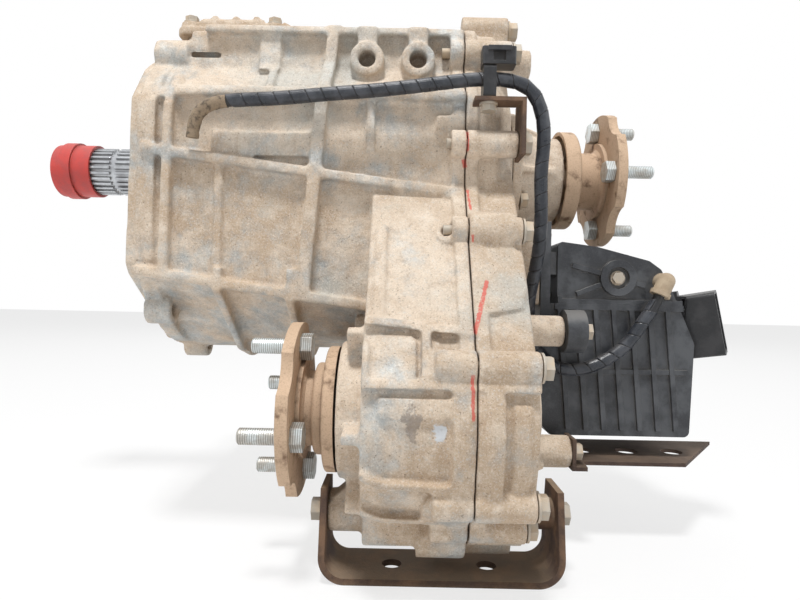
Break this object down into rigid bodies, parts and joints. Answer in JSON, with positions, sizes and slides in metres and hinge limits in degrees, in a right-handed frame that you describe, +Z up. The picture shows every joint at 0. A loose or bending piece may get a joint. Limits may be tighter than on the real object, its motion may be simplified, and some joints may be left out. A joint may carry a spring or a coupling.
{
  "type": "transfer case",
  "caption": "Chain-drive transfer case with low range, lockable centre differential, two output flanges, electric shift actuator and guard strap.",
  "frame": {"origin": "where the main shaft's axis crosses the face that bolts to the transmission", "axes": "+X along the main shaft towards the rear axle, +Z up, -Y towards the side the picture shows"},
  "size_m": [0.623, 0.3655, 0.4395],
  "materials": {
    "cast_aluminium": "dusty sand-cast",
    "bare_steel": "machined",
    "gear_steel": "oiled, ground",
    "zinc_steel": "zinc plated, dusty",
    "rusty_steel": "rusted and dusty",
    "flange_steel": "forged, rust film",
    "black_plastic": "moulded, dusty",
    "red_plastic": "moulded",
    "clip_plastic": "moulded",
    "hose_rubber": "ribbed wrap",
    "boot_rubber": "dusty",
    "seal_rubber": "oiled"
  },
  "bodies": {
    "case": {"front_case": "cast_aluminium", "rear_case": "cast_aluminium", "rear_extension": "cast_aluminium", "top_cover": "cast_aluminium", "split_bolts": "zinc_steel", "housing_bolts": "zinc_steel", "cover_bolts": "zinc_steel", "case_plugs": "zinc_steel", "input_retainer": "cast_aluminium", "shaft_seals": "seal_rubber", "bearing_outer_rings": "gear_steel", "ring_gear": "gear_steel", "drive_chain": "gear_steel", "actuator_housing": "black_plastic", "actuator_cover": "black_plastic", "actuator_connector": "black_plastic", "actuator_pins": "bare_steel", "actuator_bolts": "zinc_steel", "actuator_motor": "bare_steel", "guard_strap": "rusty_steel", "strap_spacer": "rusty_steel", "guard_plate": "rusty_steel", "bracket_bolts": "rusty_steel", "breather_hose": "hose_rubber", "hose_boot": "boot_rubber", "hose_clip": "clip_plastic", "hose_bracket": "rusty_steel"},
    "rear_output": {"differential_ring": "gear_steel", "rear_output_shaft": "bare_steel", "rear_inner_ring": "gear_steel", "rear_flange": "flange_steel", "rear_studs": "zinc_steel", "rear_deflector": "flange_steel"},
    "input": {"input_shaft": "bare_steel", "shaft_cap": "red_plastic", "input_inner_ring": "gear_steel"},
    "carrier": {"planet_carrier": "gear_steel", "planet_pins": "gear_steel"},
    "planet_1": {"planet_gear_1": "gear_steel"},
    "planet_2": {"planet_gear_2": "gear_steel"},
    "planet_3": {"planet_gear_3": "gear_steel"},
    "planet_4": {"planet_gear_4": "gear_steel"},
    "differential": {"differential_case": "gear_steel", "differential_planets": "gear_steel"},
    "front_drive": {"front_drive_shaft": "gear_steel", "drive_sprocket": "gear_steel"},
    "front_output": {"front_output_shaft": "bare_steel", "driven_sprocket": "gear_steel", "front_inner_rings": "gear_steel", "front_flange": "flange_steel", "front_studs": "zinc_steel", "front_deflectors": "flange_steel"},
    "range_sleeve": {"high_low_sleeve": "gear_steel"},
    "lock_ring": {"lock_sleeve": "gear_steel"},
    "range_shift": {"high_low_rail": "gear_steel", "high_low_fork": "flange_steel"},
    "lock_shift": {"lock_rail": "gear_steel", "lock_fork": "flange_steel"},
    "range_drive": {"high_low_pinion": "gear_steel"},
    "lock_drive": {"lock_pinion": "gear_steel"}
  },
  "joints": [
    {"name": "rear_output_spin", "type": "hinge", "parent": "case", "child": "rear_output", "pos_m": [0.3, 0, 0], "axis": [1, 0, 0], "continuous": true},
    {"name": "input_spin", "type": "hinge", "parent": "case", "child": "input", "pos_m": [0, 0, 0], "axis": [1, 0, 0], "continuous": true},
    {"name": "carrier_spin", "type": "hinge", "parent": "case", "child": "carrier", "pos_m": [0.097, 0, 0], "axis": [1, 0, 0], "continuous": true},
    {"name": "differential_spin", "type": "hinge", "parent": "case", "child": "differential", "pos_m": [0.175, 0, 0], "axis": [1, 0, 0], "continuous": true},
    {"name": "front_drive_spin", "type": "hinge", "parent": "case", "child": "front_drive", "pos_m": [0.24, 0, 0], "axis": [1, 0, 0], "continuous": true},
    {"name": "front_output_spin", "type": "hinge", "parent": "case", "child": "front_output", "pos_m": [0.24, -0.14105, -0.19774], "axis": [1, 0, 0], "continuous": true, "deforming": ["drive_chain"]},
    {"name": "planet_1_spin", "type": "hinge", "parent": "carrier", "child": "planet_1", "pos_m": [0.097, 0.054, 0], "axis": [1, 0, 0], "continuous": true},
    {"name": "planet_2_spin", "type": "hinge", "parent": "carrier", "child": "planet_2", "pos_m": [0.097, 0, 0.054], "axis": [1, 0, 0], "continuous": true},
    {"name": "planet_3_spin", "type": "hinge", "parent": "carrier", "child": "planet_3", "pos_m": [0.097, -0.054, 0], "axis": [1, 0, 0], "continuous": true},
    {"name": "planet_4_spin", "type": "hinge", "parent": "carrier", "child": "planet_4", "pos_m": [0.097, 0, -0.054], "axis": [1, 0, 0], "continuous": true},
    {"name": "range_shift_slide", "type": "slide", "parent": "case", "child": "range_shift", "axis": [1, 0, 0], "range_m": [0, 0.014]},
    {"name": "range_sleeve_slide", "type": "slide", "parent": "differential", "child": "range_sleeve", "axis": [1, 0, 0], "range_m": [0, 0.014]},
    {"name": "range_pinion_turn", "type": "hinge", "parent": "case", "child": "range_drive", "pos_m": [0.356, -0.045, -0.09985], "axis": [0, 1, 0], "range_deg": [0, 80.3]},
    {"name": "lock_shift_slide", "type": "slide", "parent": "case", "child": "lock_shift", "axis": [1, 0, 0], "range_m": [0, 0.009]},
    {"name": "lock_ring_slide", "type": "slide", "parent": "front_drive", "child": "lock_ring", "axis": [1, 0, 0], "range_m": [0, 0.009]},
    {"name": "lock_pinion_turn", "type": "hinge", "parent": "case", "child": "lock_drive", "pos_m": [0.356, -0.02, -0.09985], "axis": [0, 1, 0], "range_deg": [0, 51.7]}
  ],
  "couplings": [
    {"joint": "input_spin", "follows": "rear_output_spin", "ratio": 1},
    {"joint": "carrier_spin", "follows": "rear_output_spin", "ratio": 0.38889},
    {"joint": "differential_spin", "follows": "rear_output_spin", "ratio": 1},
    {"joint": "front_drive_spin", "follows": "rear_output_spin", "ratio": 1},
    {"joint": "front_output_spin", "follows": "rear_output_spin", "ratio": 1},
    {"joint": "planet_1_spin", "follows": "rear_output_spin", "ratio": -2.1389},
    {"joint": "planet_2_spin", "follows": "rear_output_spin", "ratio": -2.1389},
    {"joint": "planet_3_spin", "follows": "rear_output_spin", "ratio": -2.1389},
    {"joint": "planet_4_spin", "follows": "rear_output_spin", "ratio": -2.1389},
    {"joint": "range_sleeve_slide", "follows": "range_shift_slide", "ratio": 1},
    {"joint": "range_pinion_turn", "follows": "range_shift_slide", "rad_per_m": 100},
    {"joint": "lock_ring_slide", "follows": "lock_shift_slide", "ratio": 1},
    {"joint": "lock_pinion_turn", "follows": "lock_shift_slide", "rad_per_m": 100}
  ]
}
